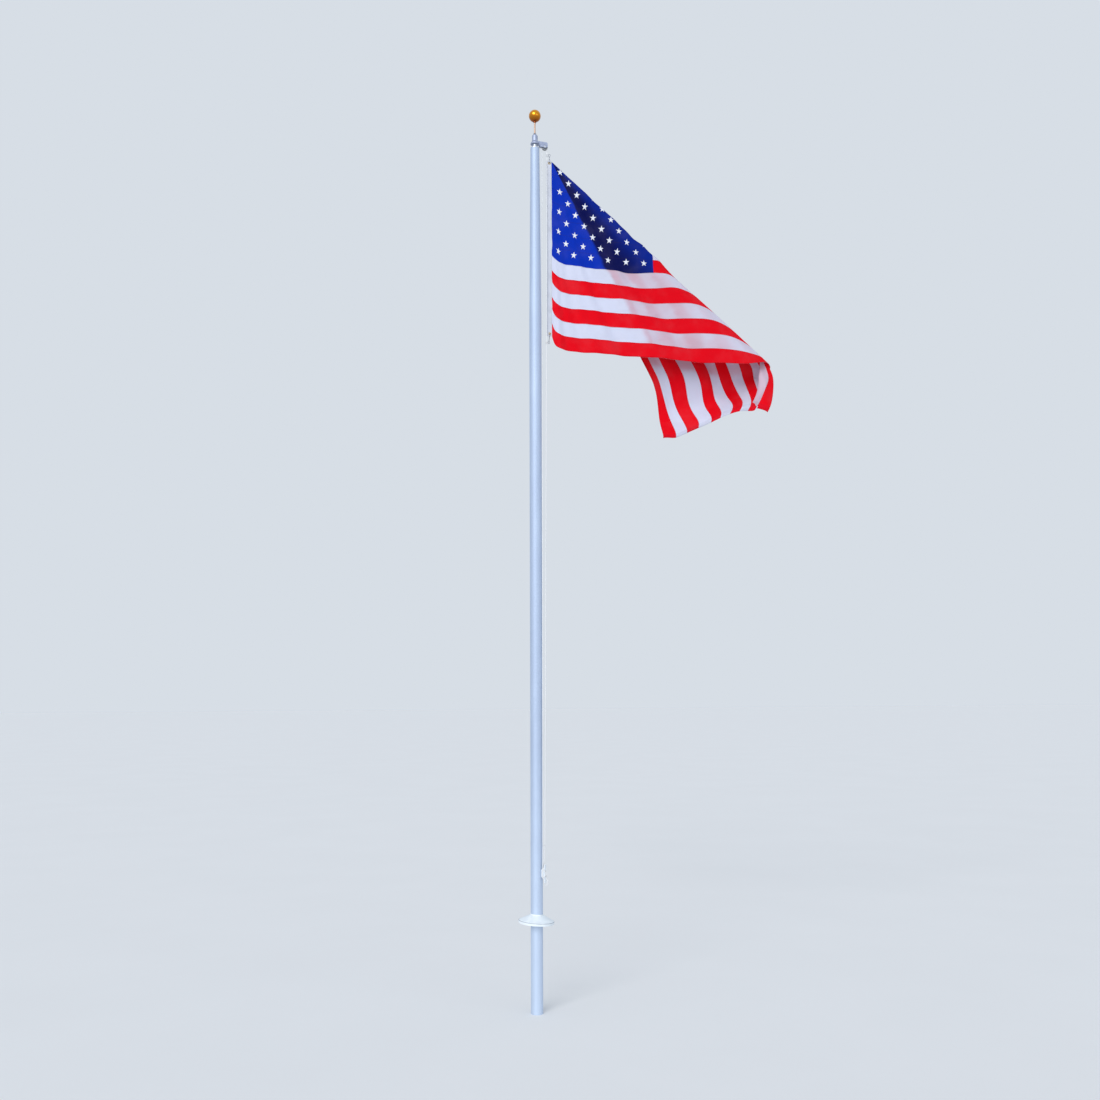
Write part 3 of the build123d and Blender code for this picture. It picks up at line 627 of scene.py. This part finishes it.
# Header: white canvas folded along the hoist and sewn down near both its edges, with a brass
# grommet near each end.
canvas_white = (0.58, 0.60, 0.67)
canvas_stained = (0.42, 0.44, 0.50)
canvas_thread = (0.24, 0.26, 0.32)
canvas_weave = 4200.0
canvas_finish, canvas_shader, start = finish("header_canvas", Roughness=0.88, Sheen_Weight=0.2)
coords = on_piece(start)
x, _, z = coords.axes()
threads = ((x * canvas_weave).sum("SINE") + (z * canvas_weave).sum("SINE")) * 0.25 + 0.5
low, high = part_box("flag_header")
row_inset, stitch_length = 0.006, 0.005
thread_core, thread_edge = 0.0004, 0.0009
near_row = x.line(low[0] + row_inset, thread_core, thread_edge)
far_row = x.line(high[0] - row_inset, thread_core, thread_edge)
stitches = near_row.either(far_row) * (z * (2 * pi / stitch_length)).sum("SINE").step(-0.3, 0.1)
stain = grain(start, coords, 9.0).step(0.4, 0.75) * 0.6
canvas_colour = stain.mix(canvas_white, canvas_stained)
(stitches * 0.8).mix(canvas_colour, canvas_thread).into(canvas_shader.inputs["Base Color"])
bump(start, threads * 0.4 - stitches, 0.6, 0.0006, canvas_shader)
dress(canvas_finish, "flag_header")
brass_finish = worn(
    "grommet_brass",
    patches=210.0,
    fade=(0.35, 0.7),
    tones=((0.62, 0.43, 0.16), (0.38, 0.27, 0.12)),
    relief=0.2,
    roughness=(0.25, 0.25),
    Metallic=1.0,
)
dress(brass_finish, "upper_grommet", "lower_grommet")

# Flag: thirteen sewn nylon stripes and a canton with embroidered stars, 5 by 8 feet. In light
# air it folds back along its diagonal and hangs from the top corner of the hoist.
hoist, fly = 1.524, 2.438
stripe = hoist / 13
canton_fly, canton_hoist = 0.9767, 7 * stripe
seam = 0.0035
hem = 0.028
cloth = 0.0012
seat_gap = 0.0003
corner = Vector((high[0] + seat_gap, (low[1] + high[1]) / 2, high[2]))

# The fold runs out from the hoist's top corner. Its angles are degrees below the level, in the
# flat cloth and in the air, and distances from the corner are in metres.
fold_in_cloth = 32.5
fold_in_air = 37.3
fold_gap = 0.004
# The roll of the cloth round the fold, in degrees: tight by the hoist, wider where it opens
tight_roll, front_widens, back_widens = 1.3, 5.3, 6.7
opens_from, open_by = 1.15, 1.6
roll_flatness = 0.5
# The back sheet droops from this distance along the fly to the hem, where its roll is widest
droop_from, hem_roll = 1.95, 18.7
# The hoist holds the cloth flat and straight for this far
creases_from = 0.16
drift_most, drift_span = 0.080, 0.17
sag_most, sag_span = 0.105, 0.12


def smooth(low, high, value):
    # 0 up to low, 1 from high on, and a smooth rise between
    share = min(max((value - low) / (high - low), 0.0), 1.0)
    return share * share * (3 - 2 * share)


def bell(value, middle, width):
    # 1 at the middle, and down to about a third at a width from it
    return exp(-(((value - middle) / width) ** 2))


def rolled(arc, roll):
    # How far round a roll of cloth goes across, for its length along the arc
    return roll * (1 - cos(arc / roll)) if arc < roll * pi / 2 else arc - roll * (pi / 2 - 1)


def settled(away, span):
    # How much of its sag the cloth has at a distance from the hoist, which holds it straight
    return away / (away**2.5 + span**2.5) ** 0.4


def crest_of(rho):
    # The cloth's own angle that lies on the fold, at a distance from the top corner
    return fold_in_cloth - 0.9 * smooth(1.2, 1.6, rho) + 5.4 * smooth(2.24, 2.6, rho) ** 2


def hang(a, b):
    # Where a point of the cloth hangs: its slope and distance from the corner, and its depth
    rho = max(hypot(a, b), 1e-6)
    phi = degrees(atan2(b, a))
    edge = crest_of(rho)
    crest = fold_in_air - 1.4 * smooth(0.6, 2.0, rho)
    open_out = smooth(opens_from, open_by, rho)
    front_roll = tight_roll + front_widens * smooth(opens_from, 1.5, rho)
    stretch = 0.045 * smooth(1.2, 2.5, rho)
    if phi > edge:
        # The front sheet sags from the hoist and drifts back towards it
        drift = drift_most * b * settled(a, drift_span) * (1 - 0.3 * a)
        sag = sag_most * b * (1 - 0.15 * b) * settled(a, sag_span) * (1 - 0.13 * a)
        flat_slope = degrees(atan2(b + sag, a - drift))
        share = smooth(0.0, 15.0, phi - edge)
        arc = phi - edge
        arc += (flat_slope - crest + (pi / 2 - 1) * front_roll - arc) * share
        arc = max(arc, 0.0)
        reach = rho * (1 + stretch)
        reach += (hypot(a - drift, b + sag) - reach) * share
        depth = reach * radians(front_roll) * roll_flatness + fold_gap
        return crest + rolled(arc, front_roll), reach, depth * (1 - sin(min(arc / front_roll, pi / 2)))
    # The back sheet rolls over the fold and turns down towards the hem
    late = 2.0 + 2.0 * smooth(5.0, 20.0, phi) * (1 - smooth(26.0, 32.0, phi))
    droop = max(min((a - droop_from) / (fly - droop_from), 1.0), 0.0) ** late
    back_roll = (tight_roll + back_widens * open_out) * (1 - droop) + hem_roll * droop
    start_angle = edge + (min(edge, 31.6) - edge) * open_out
    start_angle += (30.0 - start_angle) * droop
    arc = max(start_angle - phi, 0.0)
    slope = rolled(arc, back_roll) * (1 - 0.245 * (1 - open_out))
    slope -= 0.033 * open_out * (1 - droop) * max(0.0, arc - 22.0) ** 2
    slope += crest + 9.6 * droop
    short = 0.057 * smooth(22.0, 30.0, phi) + 0.017 * (1 - smooth(0.0, 3.0, phi))
    reach = rho * (1 + stretch + droop * (0.012 - short))
    round_back = sin(min(arc / back_roll, pi / 2))
    depth = reach * radians(front_roll + back_roll * round_back) * roll_flatness
    depth += fold_gap * (1 + round_back)
    depth += 0.045 * smooth(3.0, 14.0, arc) * smooth(0.15, 0.8, rho) * (1 - open_out)
    near_fold = min(max((phi - 24.0) / 8.0, 0.0), 1.0)
    hem_depth = 0.2 - 0.22 * smooth(6.0, 24.0, phi) + 0.12 * sin(pi * near_fold) ** 2
    return slope, reach, depth + (hem_depth - depth) * smooth(0.0, 1.0, droop)


def hung(a, b):
    # The cloth's point in space, with its creases and crinkles
    slope, reach, depth = hang(a, b)
    held = smooth(0.0, creases_from, a)
    phi = degrees(atan2(b, max(a, 1e-6)))
    rho = hypot(a, b)
    away = phi - crest_of(rho)
    puckered = smooth(0.1, 0.4, rho) * (1 - smooth(0.9, 1.5, rho))
    slope += 0.8 * noise.noise(Vector((rho * 9.0, 4.7, 1.9))) * puckered
    calm = smooth(2.0, 9.0, abs(away))
    crease = 0.020 * min(rho, 1.2) * bell(away, 14.0, 4.5) * smooth(0.1, 0.7, rho)
    waves = 0.007 * rho * sin(away * 0.42 + 1.1) + 0.003 * rho * sin(away * 1.1 + 2.4 * rho)
    crinkle = 0.0030 * noise.noise(Vector((a * 7.0, b * 11.0, 3.1)))
    crinkle += 0.0011 * noise.noise(Vector((a * 19.0, b * 27.0, 7.7)))
    depth += (crease * (away > 0) + waves * calm + crinkle) * held
    out, below = cos(radians(slope)) * reach, sin(radians(slope)) * reach
    if away < 0:
        # The sheet that hangs below the front one, where level runs down from 0 to 1 at the hem
        hanging = smooth(1.2, 1.65, below)
        level = (below - 1.72) / (0.64 - 0.26 * (out - 0.94))
        level = min((level + hypot(level, 0.14)) / 2, 1.0)
        high = 0.030 * smooth(1.08, 1.36, out)
        high += 0.036 * bell(out, 1.33, 0.25) + 0.03 * bell(out, 1.5, 0.12)
        low = 0.016 * (1 - smooth(1.2, 1.5, out)) - 0.045 * smooth(1.45, 1.7, out)
        out += (high + (low - high) * level**2) * hanging * (1 - smooth(1.22, 1.30, b))
        # The bottom stripes turn back over it at the far end
        lap = smooth(1.20, 1.30, b) * smooth(1.5, 1.7, below)
        turned = 0.085 * (1 - level) * smooth(1.29, 1.41, b) + 0.055 * level * smooth(1.33, 1.5, b)
        curl = 0.050 * sin(pi * level) * smooth(1.33, 1.42, b) * (1 - 0.8 * smooth(1.43, 1.52, b))
        out -= (0.085 - 0.030 * level - turned + curl) * lap
        # Its stripes bow and wave on their way down
        bow = 0.032 * bell(b, 0.32, 0.16) - 0.018 * bell(b, 0.72, 0.12)
        wave = 0.014 * bell(b, 0.28, 0.22) - 0.024 * bell(b, 0.76, 0.14)
        out -= (bow * sin(pi * level) + wave * sin(2 * pi * level)) * hanging
        depth -= 0.030 * lap + 0.026 * smooth(1.4, 2.0, rho) * smooth(3.0, 12.0, -away)
    return corner + Vector((out, depth, -below))


def behind(a, b):
    # The cloth's place that lies behind or before this one, how many degrees this one is inside
    # the other sheet's edge, and its slope
    slope = hang(a, b)[0]
    rho = max(hypot(a, b), 1e-6)
    edge = crest_of(rho)
    front = degrees(atan2(b, max(a, 1e-6))) > edge
    outer = degrees(acos(min(fly / rho, 1.0))) if front else degrees(asin(min(hoist / rho, 1.0)))
    inner = edge

    def spot(angle):
        return rho * cos(radians(angle)), rho * sin(radians(angle))

    margin = hang(*spot(outer))[0] - slope
    for _ in range(18):
        middle = (inner + outer) / 2
        if hang(*spot(middle))[0] < slope:
            inner = middle
        else:
            outer = middle
    return spot(inner), (margin, slope)


# The cloth's grid is spaced so that the fold runs through its corners
rows_a_stripe = 13
row_gap = stripe / rows_a_stripe
column_gap = row_gap / tan(radians(crest_of(0.0)))
rows = [row_gap * step for step in range(13 * rows_a_stripe + 1)]
columns = [column_gap * step for step in range(int(fly / column_gap))] + [fly]

bm = bmesh.new()
bmesh.ops.create_grid(bm, x_segments=len(columns) - 1, y_segments=len(rows) - 1, size=1.0)
own = bm.loops.layers.uv.new("cloth")
other = bm.loops.layers.uv.new("behind")
cover = bm.loops.layers.uv.new("cover")
spots = {}
for vert in bm.verts:
    a = columns[round((vert.co.x + 1) / 2 * (len(columns) - 1))]
    b = rows[round((1 - vert.co.y) / 2 * (len(rows) - 1))]
    spots[vert] = (a, b, *behind(a, b))
    vert.co = hung(a, b)
for face in bm.faces:
    for loop in face.loops:
        a, b, far, over = spots[loop.vert]
        loop[own].uv = (a, b)
        loop[other].uv = far
        loop[cover].uv = over
bmesh.ops.triangulate(bm, faces=bm.faces, quad_method="ALTERNATE")

# Nylon, thin enough for light to come through, red and white with a blue canton
flag_red = (0.86, 0.0, 0.010)
flag_white = (0.74, 0.76, 0.88)
# Painted light and shade: pink for red seen through white, navy for the doubled canton
pink_light_tint = (0.70, 0.44, 0.53)
flag_blue = (0.001, 0.035, 0.50)
navy_shade_tint = (0.001, 0.004, 0.09)
flag_aged = (0.42, 0.36, 0.42)
seam_shade = (0.05, 0.03, 0.08)
nylon_weave = 9000.0
light_through = 0.28
flag_finish, flag_shader, start = finish("flag_nylon", Roughness=0.75, Specular_IOR_Level=0.12)
tree = flag_finish.node_tree
chart = on_cloth(start)
far, down, _ = chart.axes()
white = (down / stripe).sum("MODULO", 2.0).above(1.0)
canton = far.sum("LESS_THAN", canton_fly) * down.sum("LESS_THAN", canton_hoist)
crumple = grain(start, chart, 1.0, detail=3.0, stretch=(5.0, 9.0, 1.0))

# Painted light and shade where two sheets overlap: a darker canton, and pink through white
inside, slope, _ = on_cloth(start, "cover").axes()
doubled = (inside + (crumple - 0.5) * 3.5).step(-0.8, 1.8)
behind_down = on_cloth(start, "behind").axes()[1] + (crumple - 0.5) * 0.12
red_behind = (behind_down * (pi / stripe)).sum("SINE").step(-0.9, 0.9)
# Painted pink light: the sheet behind shows its red through the white, more past the fold
pink_light = red_behind * 0.35 + crumple.step(0.3, 0.7) * 0.25 + 0.25
pink_light = doubled * pink_light * (slope.step(38.0, 46.0) * 0.6 + 0.4)
# Painted pink light on the twelfth stripe, where the turned-back red stripe lies behind it
lap_light = down.above(11 * stripe) * far.step(1.9, 2.05) * 0.6
# Painted shade: the doubled canton darker, darkest in the crease band along the star diagonal
navy_shade = doubled * (0.5 + slope.step(39.0, 52.0) * 0.5)
stripes = white.mix(flag_red, pink_light.either(lap_light).mix(flag_white, pink_light_tint))
colour = canton.mix(stripes, navy_shade.mix(flag_blue, navy_shade_tint))
aged = (grain(start, on_piece(start), 5.0).step(0.4, 0.8) * 0.06).mix(colour, flag_aged)

# A lapped seam along each stripe, sewn twice, and a hem at the fly's end, sewn three times
in_stripe = (down / stripe).sum("FRACT") * stripe
seam_line = 1 - in_stripe.step(seam * 0.9, seam * 1.1)
thread_core, thread_edge, stitch_length = 0.0003, 0.0006, 0.0032
seam_rows = in_stripe.line(0.0009, thread_core, thread_edge)
seam_rows = seam_rows.either(in_stripe.line(seam * 0.8, thread_core, thread_edge))
hem_band = 1 - (fly - hem - far).step(-0.001, 0.001)
hem_insets = (0.026, 0.018, 0.010)
hem_rows = far.line(fly - hem_insets[0], thread_core, thread_edge)
for inset in hem_insets[1:]:
    hem_rows = hem_rows.either(far.line(fly - inset, thread_core, thread_edge))
seam_dashes = (far * (2 * pi / stitch_length)).sum("SINE").step(-0.4, 0.0)
hem_dashes = (down * (2 * pi / stitch_length)).sum("SINE").step(-0.4, 0.0)
sewn = (seam_rows * seam_dashes).either(hem_rows * hem_dashes)
cloth_colour = (seam_line.either(hem_band * 0.35) * 0.22).mix(aged, seam_shade)
cloth_colour.into(flag_shader.inputs["Base Color"])
weave = ((far * nylon_weave).sum("SINE") + (down * nylon_weave).sum("SINE")) * 0.25
pucker = grain(start, chart, 1.0, stretch=(60.0, 22.0, 1.0))
relief = weave * 0.08 + seam_line * 0.5 + hem_band * 0.5 - sewn * 0.5 + pucker * 0.5
bump(start, relief, 0.7, 0.0016, flag_shader)
thin = start.node("ShaderNodeBsdfTranslucent")
cloth_colour.into(thin.socket.node.inputs["Color"])
opaque = Wire(tree, flag_shader.outputs[0])
film = start.node("ShaderNodeMixShader", {0: light_through, 1: opaque, 2: thin})
film.into(tree.nodes["Material Output"].inputs["Surface"])

flag = place_mesh("flag_cloth", bm, flag_finish)
wall = flag.modifiers.new("thickness", "SOLIDIFY")
wall.thickness = cloth
wall.offset = 0.0
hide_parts("flag_field")
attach(flag, "flag")

# Stars: fifty, embroidered in white thread on both sides of the canton, in nine rows of six
# and five by turns.
star_shade = (0.66, 0.67, 0.74)
star_white = (0.86, 0.86, 0.90)
star_threads = 5200.0
star_finish, star_shader, start = finish("star_thread", Roughness=0.5, Sheen_Weight=0.3)
chart = on_cloth(start)
threads = (chart.axes()[0] * star_threads).sum("SINE") * 0.5 + 0.5
lustre = (threads * 0.25 + grain(start, chart, 40.0) * 0.5).step(0.2, 0.6)
lustre.mix(star_shade, star_white).into(star_shader.inputs["Base Color"])
bump(start, threads, 0.4, 0.0004, star_shader)

star_rows, star_columns = 9, 11
star_gap_fly, star_gap_hoist = canton_fly / (star_columns + 1), canton_hoist / (star_rows + 1)
star_radius = 0.030
star_waist = star_radius * 0.382
star_thread = 0.0008
star_lift = cloth / 2 + 0.0012
nearby = 0.004
bm = bmesh.new()
own = bm.loops.layers.uv.new("cloth")

# Each star is first drawn flat, with its point up, and stands at 1 or -1 for its side of the cloth
for row in range(1, star_rows + 1):
    for column in range(1 + (row + 1) % 2, star_columns + 1, 2):
        for face_side in (1, -1):
            star = bmesh.ops.create_circle(
                bm, cap_ends=True, cap_tris=True, segments=10, radius=star_radius
            )["verts"]
            ring = [vert for vert in star if vert.co.length > star_waist]
            ring.sort(key=lambda vert: atan2(vert.co.x, vert.co.y) % (2 * pi))
            for i, vert in enumerate(ring):
                angle = pi * i / 5
                out = star_waist if i % 2 else star_radius
                vert.co = Vector((sin(angle), -cos(angle), 0.0)) * out
            centre = Vector((column * star_gap_fly, row * star_gap_hoist, face_side))
            bmesh.ops.translate(bm, verts=star, vec=centre)
bmesh.ops.subdivide_edges(bm, edges=bm.edges, cuts=1, use_grid_fill=True)
bmesh.ops.reverse_faces(bm, faces=[face for face in bm.faces if face.verts[0].co.z < 0])
for vert in bm.verts:
    a, b, face_side = vert.co
    for loop in vert.link_loops:
        loop[own].uv = (a, b)
    here = hung(a, b)
    normal = (hung(a + nearby, b) - here).cross(hung(a, b + nearby) - here).normalized()
    vert.co = here + normal * star_lift * face_side
stars = place_mesh("flag_stars", bm, star_finish)
thread = stars.modifiers.new("thickness", "SOLIDIFY")
thread.thickness = star_thread
thread.offset = 1.0
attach(stars, "flag")
